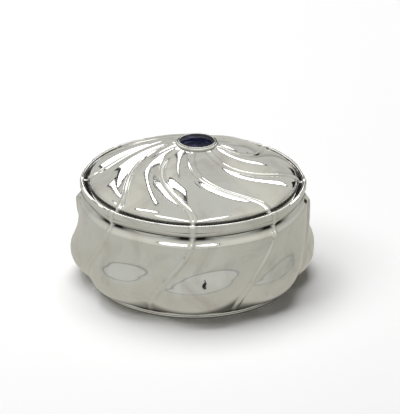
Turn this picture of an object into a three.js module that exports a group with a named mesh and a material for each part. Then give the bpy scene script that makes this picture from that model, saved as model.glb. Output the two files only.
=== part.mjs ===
// Round hinged keepsake box of polished silver, with eight raised ribs that swirl over the domed lid,
// run across the rim and curl down the bellied body, and a dark blue stone set in the top of the lid.
// Millimetres, +Z up. The origin is on the table under the middle of the box, and the front faces -Y.
import * as THREE from 'three';

// Ribs and panels
const ribCount = 8;
const ribHalfWidth = 1.7; // half the foot of a rib
const ribRise = 0.75; // how far a rib stands out of the panels beside it
const rimRibRise = 0.25; // and where it crosses the rims
const bodyTwist = 22.5; // degrees a rib turns from the rim down to the foot
const lidTwist = 58; // degrees a rib turns from the rim in to the stone

// Foot and floor
const footRadius = 42.6;
const footWidth = 2.4;
const footHeight = 1.2;
const floorThickness = 1;
const floorOverhang = 0.4; // floor plate beyond the foot ring

// Body wall
const wallHeight = 35.2; // from the floor plate to the underside of the rim
const wallThickness = 0.9;
const wallFootOverhang = 0.2; // bottom edge of the wall beyond the floor plate
const bellyRadius = 50.6; // middle of a panel at its fullest
const bellyHeight = 10.8; // fullest point above the floor plate
const ribBellyRadius = 47; // the wall beside a rib at that height
const waistStep = 2.1; // middle of a panel where it is straightest, beyond its neck
const waistShare = 0.67; // height of the waist, on the way from the belly to the rim
const shoulderStep = 1.2; // the wall beside a rib from the waist up, beyond the rim
const coveHeight = 3.9; // hollow under the rim
const neckStep = 1.5; // neck inside the rim, at the ribs

// Rim of the body and rim of the lid
const rimRadius = 46.2; // at the ribs
const bodyRimDip = 1.2; // how far the body's rim draws in between the ribs
const bodyRimHeight = 2;
const seamGap = 0.15;
const lidRimDip = 0.4;
const lidRimHeight = 2.95;
const rimRound = 0.5; // rounding of the rim's outer edges
const lipWidth = 1.2; // rounded top of the lid's rim
const lipSlope = 0.2; // slant of the lip's inner side
const grooveDepth = 0.8; // groove between that lip and the dome

// Collar that locates the lid
const mouthInset = 3.2; // from the rim's outer edge at the ribs to the outside of the collar
const collarThickness = 0.8;
const collarBelow = 2; // below the body's rim
const collarAbove = 1.5; // above the seam
const collarClearance = 0.45; // between the collar and the lid's rim
const collarFit = 0.1; // between the collar and the body wall under the rim
const neckSlant = 1.35; // how much thicker the slanting neck measures from side to side

// Dome of the lid
const domeInset = 3.9; // from the rim's outer edge at the ribs to the foot of the dome
const domeHeight = 16.4; // from the groove to the flat on top
const domeThickness = 0.8;
const domeLedge = 0.3; // lid rim that shows inside the foot of the dome
const pillowLift = 1; // how far a panel swells above the ribs beside it
const pillowHeight = 2.8; // height of the swollen edge above the groove

// Stone and its setting
const finialShift = 1.4; // the setting sits a little off centre, to +X
const stoneRadius = 7;
const stoneHeight = 0.6;
const stoneCrown = 0.2; // rise of the polished top of the stone
const stoneGap = 0.05;
const bezelThickness = 0.55;
const bezelHeight = 1.45;
const collarRingWidth = 0.7;
const collarRingHeight = 1;
const flatMargin = 0.2; // flat of the dome beyond the setting

// Hinge at the back
const hingeSeatDepth = 1.8; // flat cut into both rims for the hinge
const hingeGap = 0.3; // between the barrel and that flat
const barrelRadius = 1.25;
const pinRadius = 0.55;
const pinClearance = 0.05;
const knuckleLength = 2.8;
const knuckleSpace = 0.2;
const knuckleCount = 5;
const tabMargin = 0.3; // tab of a knuckle inside the height of its rim
const pinCapRadius = 0.95;
const pinCapThickness = 0.5;

// Heights and radii that follow from the sizes above
const sector = (2 * Math.PI) / ribCount;
const floorRadius = footRadius + floorOverhang;
const floorTop = footHeight + floorThickness;
const bellyTop = floorTop + bellyHeight;
const wallTop = floorTop + wallHeight;
const waistTop = bellyTop + waistShare * (wallTop - bellyTop);
const coveFoot = wallTop - coveHeight;
const seamHeight = wallTop + bodyRimHeight;
const lidRimFoot = seamHeight + seamGap;
const lidRimTop = lidRimFoot + lidRimHeight;
const grooveHeight = lidRimTop - grooveDepth;
const mouthRadius = rimRadius - mouthInset;
const lidMouthRadius = mouthRadius + collarClearance;
const neckRadius = rimRadius - neckStep;
const neckPanelRadius = mouthRadius + collarFit + neckSlant * wallThickness;
const shoulderRadius = rimRadius + shoulderStep;
const waistRadius = neckPanelRadius + waistStep;
const domeRadius = rimRadius - domeInset;
const domeTop = grooveHeight + domeHeight;
const pillowEdgeHeight = grooveHeight + pillowHeight;
const ribEdgeHeight = pillowEdgeHeight - pillowLift;
const bezelInner = stoneRadius + stoneGap;
const bezelOuter = bezelInner + bezelThickness;
const collarRingInner = bezelOuter + stoneGap;
const flatRadius = collarRingInner + collarRingWidth + flatMargin;
const hingeSeat = rimRadius - hingeSeatDepth;
const hingeAxisY = hingeSeat + hingeGap + barrelRadius;
const hingeAxisZ = seamHeight + seamGap / 2;
const hingeLength = knuckleCount * knuckleLength + (knuckleCount - 1) * knuckleSpace;
const pinCapPlace = (hingeLength + pinCapThickness) / 2;

const bodySteps = 22;
const lidSteps = 11;
const roundSegments = 48;
const barSegments = 16;

const silver = new THREE.MeshStandardMaterial({ color: 0xd9d8d2, roughness: 0.12, metalness: 1 });
const stoneBlue = new THREE.MeshStandardMaterial({ color: 0x14173c, roughness: 0.15, metalness: 0 });

const between = (low, high, share) => low + (high - low) * share;
const easeInOut = (share) => share * share * (3 - 2 * share);
const point = (radius, height) => new THREE.Vector2(radius, height);

// Profiles run from low to high. Each pair has one line along a rib and one down the middle of a panel.
const wallFoot = floorRadius + wallFootOverhang;
const wallRibLine = new THREE.SplineCurve([
  point(wallFoot, floorTop),
  point(between(footRadius, ribBellyRadius, 0.38), between(floorTop, bellyTop, 0.24)),
  point(between(footRadius, ribBellyRadius, 0.78), between(floorTop, bellyTop, 0.58)),
  point(ribBellyRadius, bellyTop),
  point(ribBellyRadius, between(bellyTop, waistTop, 0.18)),
  point(between(shoulderRadius, ribBellyRadius, 0.6), between(bellyTop, waistTop, 0.38)),
  point(between(shoulderRadius, ribBellyRadius, 0.2), between(bellyTop, waistTop, 0.58)),
  point(shoulderRadius, between(bellyTop, waistTop, 0.78)),
  point(shoulderRadius, waistTop),
  point(shoulderRadius, between(waistTop, coveFoot, 0.55)),
  point(between(neckRadius, shoulderRadius, 0.93), coveFoot),
  point(between(neckRadius, shoulderRadius, 0.45), between(coveFoot, wallTop, 0.45)),
  point(neckRadius, wallTop),
]);
const wallPanelLine = new THREE.SplineCurve([
  point(wallFoot, floorTop),
  point(between(footRadius, bellyRadius, 0.62), between(floorTop, bellyTop, 0.24)),
  point(between(footRadius, bellyRadius, 0.92), between(floorTop, bellyTop, 0.58)),
  point(bellyRadius, bellyTop),
  point(between(waistRadius, bellyRadius, 0.9), between(bellyTop, waistTop, 0.18)),
  point(between(waistRadius, bellyRadius, 0.58), between(bellyTop, waistTop, 0.38)),
  point(between(waistRadius, bellyRadius, 0.27), between(bellyTop, waistTop, 0.58)),
  point(between(waistRadius, bellyRadius, 0.09), between(bellyTop, waistTop, 0.78)),
  point(waistRadius, waistTop),
  point(between(neckPanelRadius, waistRadius, 0.98), between(waistTop, coveFoot, 0.55)),
  point(between(neckPanelRadius, waistRadius, 0.9), coveFoot),
  point(between(neckPanelRadius, waistRadius, 0.25), between(coveFoot, wallTop, 0.45)),
  point(neckPanelRadius, wallTop),
]);
const domeRibLine = new THREE.SplineCurve([
  point(domeRadius, grooveHeight),
  point(domeRadius, between(grooveHeight, ribEdgeHeight, 0.45)),
  point(between(flatRadius, domeRadius, 0.96), ribEdgeHeight),
  point(between(flatRadius, domeRadius, 0.86), between(ribEdgeHeight, domeTop, 0.11)),
  point(between(flatRadius, domeRadius, 0.64), between(ribEdgeHeight, domeTop, 0.31)),
  point(between(flatRadius, domeRadius, 0.38), between(ribEdgeHeight, domeTop, 0.57)),
  point(between(flatRadius, domeRadius, 0.15), between(ribEdgeHeight, domeTop, 0.82)),
  point(flatRadius, domeTop),
]);
const domePanelLine = new THREE.SplineCurve([
  point(domeRadius, grooveHeight),
  point(domeRadius + 0.1 * pillowLift, between(grooveHeight, pillowEdgeHeight, 0.5)),
  point(between(flatRadius, domeRadius, 0.97), pillowEdgeHeight),
  point(between(flatRadius, domeRadius, 0.86), between(pillowEdgeHeight, domeTop, 0.135)),
  point(between(flatRadius, domeRadius, 0.64), between(pillowEdgeHeight, domeTop, 0.36)),
  point(between(flatRadius, domeRadius, 0.38), between(pillowEdgeHeight, domeTop, 0.615)),
  point(between(flatRadius, domeRadius, 0.15), between(pillowEdgeHeight, domeTop, 0.855)),
  point(flatRadius, domeTop),
]);

// 0 on a rib and 1 down the middle of a panel
const panelFullness = (share) => Math.sin(Math.PI * share);

// Half the foot of a rib, as a share of the way to the next rib
const ribShare = (radius) => ribHalfWidth / (radius * sector);

// 1 along the crest of a rib, falling to 0 at its foot
function ribCrest(share, radius) {
  const away = Math.min(share, 1 - share) / ribShare(radius);
  return away < 1 ? (1 - away * away) ** 2 : 0;
}

// Places around one panel, as shares of the angle from one rib to the next, closer beside the ribs
function panelShares(radius) {
  const inner = 0.5 * ribShare(radius);
  const outer = Math.min(ribShare(radius), 0.17);
  return [0, inner, outer, 0.19, 0.38, 0.62, 0.81, 1 - outer, 1 - inner];
}

// One closed ring of points. place(share, angle) gives radius and height there, turn is in degrees and
// ribRadius is how far out the ribs are.
function ring(place, turn = 0, shift = 0, ribRadius = rimRadius) {
  const points = [];
  for (let panel = 0; panel < ribCount; panel += 1) {
    for (const share of panelShares(ribRadius)) {
      const angle = (panel + share) * sector - THREE.MathUtils.degToRad(turn);
      const { x: radius, y: height } = place(share, angle);
      points.push(new THREE.Vector3(radius * Math.sin(angle) + shift, -radius * Math.cos(angle), height));
    }
  }
  return points;
}

// Joins rings into one closed skin. A ring of one point is a pole, and with no poles the last ring meets
// the first. Rings climb on outer faces and go down on inner ones.
function skin(rings) {
  const closed = rings[0].length > 1;
  const starts = [];
  const positions = [];
  for (const points of rings) {
    starts.push(positions.length / 3);
    points.forEach((p) => positions.push(p.x, p.y, p.z));
  }
  const faces = [];
  const last = closed ? rings.length : rings.length - 1;
  for (let row = 0; row < last; row += 1) {
    const next = (row + 1) % rings.length;
    const around = Math.max(rings[row].length, rings[next].length);
    for (let i = 0; i < around; i += 1) {
      const j = (i + 1) % around;
      const at = (which, index) => starts[which] + (rings[which].length > 1 ? index : 0);
      if (rings[row].length > 1) faces.push(at(row, i), at(row, j), at(next, i));
      if (rings[next].length > 1) faces.push(at(row, j), at(next, j), at(next, i));
    }
  }
  const geometry = new THREE.BufferGeometry();
  geometry.setAttribute('position', new THREE.Float32BufferAttribute(positions, 3));
  geometry.setIndex(faces);
  geometry.computeVertexNormals();
  return geometry;
}

// Outer and inner rings of a ribbed shell between its rib line and its panel line
function shellRings({ ribLine, panelLine, thickness, steps, twist, shift = 0, twistBy }) {
  const outer = [];
  const inner = [];
  for (let step = 0; step <= steps; step += 1) {
    const along = step / steps;
    const onRib = ribLine.getPoint(along);
    const onPanel = panelLine.getPoint(along);
    const ribWay = ribLine.getTangent(along);
    const panelWay = panelLine.getTangent(along);
    const turn = twist * easeInOut(twistBy(onRib));
    const sideways = shift * easeInOut(along);
    outer.push(ring((share) => {
      const p = onRib.clone().lerp(onPanel, panelFullness(share));
      p.x += ribRise * ribCrest(share, onRib.x) * (step > 0 ? 1 : 0);
      return p;
    }, turn, sideways, onRib.x));
    inner.push(ring((share) => {
      const p = onRib.clone().lerp(onPanel, panelFullness(share));
      const way = ribWay.clone().lerp(panelWay, panelFullness(share)).normalize();
      const level = step === 0 || (step === steps && !shift);
      if (level) return point(p.x - thickness / way.y, p.y);
      return point(p.x - thickness * way.y, p.y + thickness * way.x);
    }, turn, sideways, onRib.x));
  }
  return { outer, inner };
}

// Radius of a rim at one angle, drawn in between its ribs and cut flat for the hinge at the back
function rimOutline(share, angle, inset, dip) {
  const rise = rimRibRise * ribCrest(share, rimRadius);
  const radius = rimRadius - inset - dip * panelFullness(share) + rise;
  const seat = hingeSeat - Math.max(0, inset - rimRound);
  const back = -Math.cos(angle);
  return back > 0 ? Math.min(radius, seat / back) : radius;
}

function outlineRing(inset, height, dip) {
  return ring((share, angle) => point(rimOutline(share, angle, inset, dip), height));
}

const plainRing = (radius, height) => ring(() => point(radius, height));
const pole = (height) => [new THREE.Vector3(finialShift, 0, height)];

// A round piece turned about the Z axis from a closed outline or one that starts and ends on the axis
function turned(outline) {
  const profile = outline.map(([radius, height]) => new THREE.Vector2(radius, height));
  return new THREE.LatheGeometry(profile, roundSegments).rotateX(Math.PI / 2);
}

// A flat outline in the YZ plane drawn out along X
function drawnAlongX(shape, length) {
  const options = { depth: length, bevelEnabled: false, curveSegments: barSegments / 2 };
  const x = new THREE.Vector3(1, 0, 0);
  const y = new THREE.Vector3(0, 1, 0);
  const z = new THREE.Vector3(0, 0, 1);
  const alongX = new THREE.Matrix4().makeBasis(y, z, x);
  return new THREE.ExtrudeGeometry(shape, options).applyMatrix4(alongX);
}

function bodyShell() {
  const { outer, inner } = shellRings({
    ribLine: wallRibLine,
    panelLine: wallPanelLine,
    thickness: wallThickness,
    steps: bodySteps,
    twist: bodyTwist,
    twistBy: (p) => (wallTop - p.y) / wallHeight,
  });
  return skin([...outer, ...inner.reverse()]);
}

function lidShell() {
  const { outer, inner } = shellRings({
    ribLine: domeRibLine,
    panelLine: domePanelLine,
    thickness: domeThickness,
    steps: lidSteps,
    twist: lidTwist,
    shift: finialShift,
    twistBy: (p) => THREE.MathUtils.clamp((domeRadius - p.x) / (domeRadius - flatRadius), 0, 1),
  });
  return skin([pole(domeTop - domeThickness), ...inner.reverse(), ...outer, pole(domeTop)]);
}

function bodyRim() {
  return skin([
    outlineRing(rimRound, wallTop, bodyRimDip),
    outlineRing(0, wallTop + rimRound, bodyRimDip),
    outlineRing(0, seamHeight - rimRound, bodyRimDip),
    outlineRing(0.5 * rimRound, seamHeight, bodyRimDip),
    plainRing(mouthRadius, seamHeight),
    plainRing(mouthRadius, wallTop),
  ]);
}

function lidRim() {
  const shelf = seamHeight + collarAbove + collarClearance;
  const ledge = domeRadius - domeThickness - domeLedge;
  return skin([
    outlineRing(0.5 * rimRound, lidRimFoot, lidRimDip),
    outlineRing(0, lidRimFoot + rimRound, lidRimDip),
    outlineRing(0, lidRimTop - 1.5 * rimRound, lidRimDip),
    outlineRing(0.6 * rimRound, lidRimTop - 0.3 * rimRound, lidRimDip),
    outlineRing(0.5 * lipWidth, lidRimTop, lidRimDip),
    outlineRing(lipWidth, lidRimTop - 0.5 * rimRound, lidRimDip),
    outlineRing(lipWidth + lipSlope, grooveHeight, lidRimDip),
    plainRing(ledge, grooveHeight),
    plainRing(ledge, shelf),
    plainRing(lidMouthRadius, shelf),
    plainRing(lidMouthRadius, lidRimFoot),
  ]);
}

function innerCollar() {
  const inside = mouthRadius - collarThickness;
  return skin([
    plainRing(mouthRadius, wallTop - collarBelow),
    plainRing(mouthRadius, seamHeight + collarAbove),
    plainRing(inside, seamHeight + collarAbove),
    plainRing(inside, wallTop - collarBelow),
  ]);
}

function footRing() {
  const inside = footRadius - footWidth;
  return turned([
    [inside, 0],
    [footRadius, 0],
    [footRadius, footHeight],
    [inside, footHeight],
    [inside, 0],
  ]);
}

function floorPlate() {
  return turned([[0, footHeight], [floorRadius, footHeight], [floorRadius, floorTop], [0, floorTop]]);
}

function collarRing() {
  const outside = collarRingInner + collarRingWidth;
  const top = domeTop + collarRingHeight;
  return turned([
    [collarRingInner, domeTop],
    [outside, domeTop],
    [outside, top - 0.4 * collarRingWidth],
    [outside - 0.4 * collarRingWidth, top],
    [collarRingInner, top],
    [collarRingInner, domeTop],
  ]).translate(finialShift, 0, 0);
}

function bezel() {
  const top = domeTop + bezelHeight;
  return turned([
    [bezelInner, domeTop],
    [bezelOuter, domeTop],
    [bezelOuter, top - 0.3 * bezelThickness],
    [bezelOuter - 0.3 * bezelThickness, top],
    [bezelInner, top],
    [bezelInner, domeTop],
  ]).translate(finialShift, 0, 0);
}

function stone() {
  const edge = domeTop + stoneHeight - stoneCrown;
  return turned([
    [0, domeTop],
    [stoneRadius, domeTop],
    [stoneRadius, edge],
    [0.72 * stoneRadius, edge + 0.6 * stoneCrown],
    [0.36 * stoneRadius, edge + 0.92 * stoneCrown],
    [0, edge + stoneCrown],
  ]).translate(finialShift, 0, 0);
}

// One knuckle of the hinge: a barrel with a bore and a tab that reaches the flat on its rim
function knuckle(index, low, high) {
  const shape = new THREE.Shape();
  const upper = high > hingeAxisZ;
  shape.moveTo(hingeSeat, low);
  if (upper) {
    shape.lineTo(hingeAxisY - barrelRadius, low);
    shape.absarc(hingeAxisY, hingeAxisZ, barrelRadius, Math.PI, 2.5 * Math.PI, false);
    shape.lineTo(hingeSeat, high);
  } else {
    shape.lineTo(hingeAxisY, low);
    shape.absarc(hingeAxisY, hingeAxisZ, barrelRadius, -0.5 * Math.PI, Math.PI, false);
    shape.lineTo(hingeSeat, high);
  }
  shape.closePath();
  const bore = new THREE.Path();
  bore.absarc(hingeAxisY, hingeAxisZ, pinRadius + pinClearance, 0, 2 * Math.PI, true);
  shape.holes.push(bore);
  const start = -hingeLength / 2 + index * (knuckleLength + knuckleSpace);
  return drawnAlongX(shape, knuckleLength).translate(start, 0, 0);
}

const bodyKnuckle = (index) => knuckle(index, wallTop + tabMargin, seamHeight);
const lidKnuckle = (index) => knuckle(index, lidRimFoot, lidRimTop - 2 * tabMargin);

// A round bar along the hinge's axis, centred at x
function hingeBar(radius, length, x) {
  const bar = new THREE.CylinderGeometry(radius, radius, length, barSegments);
  return bar.rotateZ(Math.PI / 2).translate(x, hingeAxisY, hingeAxisZ);
}

function piece(name, geometry, material = silver) {
  const mesh = new THREE.Mesh(geometry, material.clone());
  mesh.name = name;
  return mesh;
}

const box = new THREE.Group();
box.add(
  piece('foot_ring', footRing()),
  piece('floor_plate', floorPlate()),
  piece('body_shell', bodyShell()),
  piece('body_rim', bodyRim()),
  piece('inner_collar', innerCollar()),
  piece('body_knuckle_left', bodyKnuckle(0)),
  piece('body_knuckle_centre', bodyKnuckle(2)),
  piece('body_knuckle_right', bodyKnuckle(4)),
  piece('hinge_pin', hingeBar(pinRadius, hingeLength, 0)),
  piece('pin_cap_left', hingeBar(pinCapRadius, pinCapThickness, -pinCapPlace)),
  piece('pin_cap_right', hingeBar(pinCapRadius, pinCapThickness, pinCapPlace)),
);

const lid = new THREE.Group();
lid.add(
  piece('lid_rim', lidRim()),
  piece('lid_shell', lidShell()),
  piece('lid_knuckle_left', lidKnuckle(1)),
  piece('lid_knuckle_right', lidKnuckle(3)),
  piece('setting_collar', collarRing()),
  piece('stone_bezel', bezel()),
  piece('stone', stone(), stoneBlue),
);
box.add(lid);

export default box;
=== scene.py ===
import bpy
import bmesh
import math
from mathutils import Matrix, Vector


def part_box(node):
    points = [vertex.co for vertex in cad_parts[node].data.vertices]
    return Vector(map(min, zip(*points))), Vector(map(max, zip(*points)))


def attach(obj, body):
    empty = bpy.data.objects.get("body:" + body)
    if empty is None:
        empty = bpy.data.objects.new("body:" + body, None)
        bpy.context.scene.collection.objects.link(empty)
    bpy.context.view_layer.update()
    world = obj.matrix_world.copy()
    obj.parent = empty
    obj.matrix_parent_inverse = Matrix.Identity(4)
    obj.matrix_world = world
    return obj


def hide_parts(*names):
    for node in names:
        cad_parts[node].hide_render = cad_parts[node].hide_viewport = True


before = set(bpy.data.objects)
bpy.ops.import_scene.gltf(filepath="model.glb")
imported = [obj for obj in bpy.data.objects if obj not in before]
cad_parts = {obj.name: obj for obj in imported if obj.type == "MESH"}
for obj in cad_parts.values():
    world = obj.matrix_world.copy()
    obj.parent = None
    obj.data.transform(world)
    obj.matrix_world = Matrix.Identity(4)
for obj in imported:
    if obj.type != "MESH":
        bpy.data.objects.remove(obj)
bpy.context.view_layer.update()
mm = 0.001
maths = "ShaderNodeMath"
vectors = "ShaderNodeVectorMath"
print("frame loaded:", len(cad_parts), "nodes")


# Adds one node. Settings are its properties. An input that is given a node or a socket is linked to it,
# and any other input is set to the value.
def addNode(tree, kind, inputs=None, **settings):
    node = tree.nodes.new(kind)
    for name, value in settings.items():
        setattr(node, name, value)
    for key, value in (inputs or {}).items():
        if isinstance(value, bpy.types.Node):
            value = value.outputs[0]
        if isinstance(value, bpy.types.NodeSocket):
            tree.links.new(value, node.inputs[key])
        else:
            node.inputs[key].default_value = value
    return node


def colourOf(hexCode):  # sRGB hex to the linear colour that sockets hold
    parts = [int(hexCode[i:i + 2], 16) / 255 for i in (1, 3, 5)]
    return [c / 12.92 if c <= 0.04045 else ((c + 0.055) / 1.055) ** 2.4 for c in parts] + [1.0]


def newMaterial(name):
    material = bpy.data.materials.new(name)
    material.use_nodes = True
    material.node_tree.nodes.clear()
    return material


# Colour that fades from one to another while a value climbs between two limits. Either is a hex code or a
# socket, and share is how far the fade gets.
def faded(tree, value, limits, first, second, share=1.0, kind="LINEAR"):
    passed = addNode(tree, "ShaderNodeMapRange", {
        "Value": value, "From Min": limits[0], "From Max": limits[1], "To Max": share,
    }, interpolation_type=kind)
    first, second = [colourOf(c) if isinstance(c, str) else c for c in (first, second)]
    return addNode(tree, "ShaderNodeMix", {0: passed, 6: first, 7: second}, data_type="RGBA").outputs[2]


# Sizes that the frame gives, in millimetres
def lowOf(node):
    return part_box(node)[0] / mm


def highOf(node):
    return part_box(node)[1] / mm


def halfWidthOf(node):
    return (highOf(node).x - lowOf(node).x) / 2


footRadius = highOf("foot_ring").x
footHeight = highOf("foot_ring").z
floorRadius = highOf("floor_plate").x
floorTop = highOf("floor_plate").z
wallTop = highOf("body_shell").z
seamHeight = highOf("body_rim").z
lidFoot = lowOf("lid_rim").z
lidTop = highOf("lid_rim").z
mouthRadius = highOf("inner_collar").x
collarFoot = lowOf("inner_collar").z
collarTop = highOf("inner_collar").z
domeTop = highOf("lid_shell").z
grooveHeight = lowOf("lid_shell").z
hingeSeat = highOf("body_rim").y
settingCentre = (highOf("stone").x + lowOf("stone").x) / 2  # it stands a little off the box's axis

# Ribs and the metal between them, the same on every ribbed piece, in millimetres
ribs = {
    "count": 8,
    "halfWidth": 1.7,  # half the foot of a rib
    "rise": 0.75,
    "rimRise": 0.25,  # where they cross the rims
    "footMark": 0.9,  # middle of the line of painted shade and tarnish along a rib's foot, in its half widths
    "footMarkHalf": 0.25,
    "pointsPerPanel": 44,
    "crowding": 0.78,  # how closely the points gather beside the ribs
    "weld": 0.002,  # points closer than this become one
    "dentSize": 14,  # across one dent of the hand raising
}
rimRadius = -lowOf("body_rim").y - ribs["rimRise"]
lip = {"width": 1.2, "slope": 0.2}  # rounded top of the lid's rim, and its slope down to the groove
lipInside = rimRadius - lip["width"] - lip["slope"]


def between(low, high, share):
    return low + (high - low) * share


def easeInOut(share):
    share = min(1.0, max(0.0, share))
    return share * share * (3 - 2 * share)


# Points of a smooth line through the given ones, the same number between each pair
def splineThrough(points, steps):
    line = []
    for i in range(len(points) - 1):
        a = Vector(points[max(i - 1, 0)])
        b = Vector(points[i])
        c = Vector(points[i + 1])
        d = Vector(points[min(i + 2, len(points) - 1)])
        for k in range(steps):
            t = k / steps
            way = (c - a) * 0.5
            wayOn = (d - b) * 0.5
            line.append(b + way * t + (c * 3 - b * 3 - way * 2 - wayOn) * t ** 2
                        + (b * 2 - c * 2 + way + wayOn) * t ** 3)
    line.append(Vector(points[-1]))
    return line


# A closed outline of (x, y, rounding) corners, each rounding cut off along both of its edges
def rounded(corners, steps=5):
    line = []
    for i, (x, y, cut) in enumerate(corners):
        here = Vector((x, y))
        if not cut:
            line.append(here)
            continue
        before = Vector(corners[i - 1][:2]) - here
        after = Vector(corners[(i + 1) % len(corners)][:2]) - here
        start = here + before.normalized() * cut
        end = here + after.normalized() * cut
        for k in range(steps + 1):
            t = k / steps
            line.append(start * (1 - t) ** 2 + here * 2 * t * (1 - t) + end * t ** 2)
    return line


# The tree behind every ribbed piece: a sheet is wrapped round the axis between a section along a rib and
# one down the middle of a panel, with the ribs raised on it and twisted as they climb.
def buildSwirlTree():
    tree = bpy.data.node_groups.new("Swirled Shell", "GeometryNodeTree")
    for kind, names in (
        ("Object", ("Rib Line", "Panel Line")),
        ("Int", ("Rows", "Points per Panel", "Ribs")),
        ("Float", ("Rib Half Width", "Foot Mark", "Foot Mark Half Width", "Crowding", "Weld Distance",
                   "Twist", "Shift", "Back Flat", "Hand Raising", "Dents per Metre")),
        ("Material", ("Material",)),
    ):
        for name in names:
            tree.interface.new_socket(name, in_out="INPUT", socket_type="NodeSocket" + kind)
    tree.interface.new_socket("Geometry", in_out="OUTPUT", socket_type="NodeSocketGeometry")
    given = addNode(tree, "NodeGroupInput").outputs

    around = addNode(tree, maths, {0: given["Ribs"], 1: given["Points per Panel"]}, operation="MULTIPLY")
    aroundCount = addNode(tree, maths, {0: around, 1: 1.0}, operation="ADD")
    sheet = addNode(tree, "GeometryNodeMeshGrid", {
        "Size X": 1.0, "Size Y": 1.0, "Vertices X": aroundCount, "Vertices Y": given["Rows"]})
    place = addNode(tree, "GeometryNodeInputPosition")
    onSheet = addNode(tree, "ShaderNodeSeparateXYZ", {0: place}).outputs

    # which panel, and how far across it, with the points gathered beside the ribs
    turned = addNode(tree, maths, {0: onSheet["X"], 1: 0.5}, operation="ADD")
    panels = addNode(tree, maths, {0: turned, 1: given["Ribs"]}, operation="MULTIPLY")
    panel = addNode(tree, maths, {0: panels}, operation="FLOOR")
    even = addNode(tree, maths, {0: panels}, operation="FRACT")
    evenAngle = addNode(tree, maths, {0: even, 1: 2 * math.pi}, operation="MULTIPLY")
    wave = addNode(tree, maths, {0: evenAngle}, operation="SINE")
    gather = addNode(tree, maths, {0: given["Crowding"], 1: -0.5 / math.pi}, operation="MULTIPLY")
    share = addNode(tree, maths, {0: wave, 1: gather, 2: even}, operation="MULTIPLY_ADD")
    halfTurn = addNode(tree, maths, {0: share, 1: math.pi}, operation="MULTIPLY")
    fullness = addNode(tree, maths, {0: halfTurn}, operation="SINE")
    valley = addNode(tree, maths, {0: 1.0, 1: fullness}, operation="SUBTRACT")
    otherSide = addNode(tree, maths, {0: 1.0, 1: share}, operation="SUBTRACT")
    nearest = addNode(tree, maths, {0: share, 1: otherSide}, operation="MINIMUM")

    # the section at this row, and the rows before and after it for its slope
    climbed = addNode(tree, maths, {0: onSheet["Y"], 1: 0.5}, operation="ADD")
    lastRow = addNode(tree, maths, {0: given["Rows"], 1: 1.0}, operation="SUBTRACT")
    rowPlace = addNode(tree, maths, {0: climbed, 1: lastRow}, operation="MULTIPLY")
    row = addNode(tree, maths, {0: rowPlace}, operation="ROUND")
    ribLine = addNode(tree, "GeometryNodeObjectInfo", {"Object": given["Rib Line"]}).outputs["Geometry"]
    panelLine = addNode(tree, "GeometryNodeObjectInfo", {"Object": given["Panel Line"]}).outputs["Geometry"]
    sections = []
    for step in (-1.0, 0.0, 1.0):
        index = addNode(tree, maths, {0: row, 1: step}, operation="ADD")
        onRib, onPanel = [
            addNode(tree, "GeometryNodeSampleIndex", {"Geometry": line, "Value": place, "Index": index},
                    data_type="FLOAT_VECTOR", clamp=True)
            for line in (ribLine, panelLine)]
        mixed = addNode(tree, "ShaderNodeMix", {0: fullness, 4: onRib, 5: onPanel}, data_type="VECTOR")
        sections.append((onRib, onPanel, mixed.outputs[1]))
    onRib, onPanel, section = sections[1]
    ribRadius = addNode(tree, "ShaderNodeSeparateXYZ", {0: onRib}).outputs["X"]
    ribRise = addNode(tree, "ShaderNodeSeparateXYZ", {0: onRib}).outputs["Y"]
    turnShare = addNode(tree, "ShaderNodeSeparateXYZ", {0: onPanel}).outputs["Y"]
    way = addNode(tree, vectors, {0: sections[2][2], 1: sections[0][2]}, operation="SUBTRACT")
    wayParts = addNode(tree, "ShaderNodeSeparateXYZ", {0: way}).outputs
    inward = addNode(tree, maths, {0: wayParts["X"], 1: -1.0}, operation="MULTIPLY")
    outward = addNode(tree, "ShaderNodeCombineXYZ", {"X": wayParts["Z"], "Z": inward})
    outwardUnit = addNode(tree, vectors, {0: outward}, operation="NORMALIZE")

    # a rib is as wide near the stone as at the rim, and a line along its foot is marked for the painted
    # shade and tarnish
    sector = addNode(tree, maths, {0: 2 * math.pi, 1: given["Ribs"]}, operation="DIVIDE")
    panelWidth = addNode(tree, maths, {0: ribRadius, 1: sector}, operation="MULTIPLY")
    fromRib = addNode(tree, maths, {0: nearest, 1: panelWidth}, operation="MULTIPLY")
    halves = addNode(tree, maths, {0: fromRib, 1: given["Rib Half Width"]}, operation="DIVIDE")
    beside = addNode(tree, maths, {
        0: halves, 1: given["Foot Mark"], 2: given["Foot Mark Half Width"]}, operation="COMPARE")
    away = addNode(tree, maths, {0: halves, 1: 1.0}, operation="MINIMUM")
    awaySquare = addNode(tree, maths, {0: away, 1: 2.0}, operation="POWER")
    crestRoot = addNode(tree, maths, {0: 1.0, 1: awaySquare}, operation="SUBTRACT")
    crest = addNode(tree, maths, {0: crestRoot, 1: 2.0}, operation="POWER")
    rise = addNode(tree, maths, {0: crest, 1: ribRise}, operation="MULTIPLY")
    raised = addNode(tree, vectors, {0: outwardUnit, "Scale": rise}, operation="SCALE")
    pointOnRib = addNode(tree, vectors, {0: section, 1: raised}, operation="ADD")
    parts = addNode(tree, "ShaderNodeSeparateXYZ", {0: pointOnRib}).outputs

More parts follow.
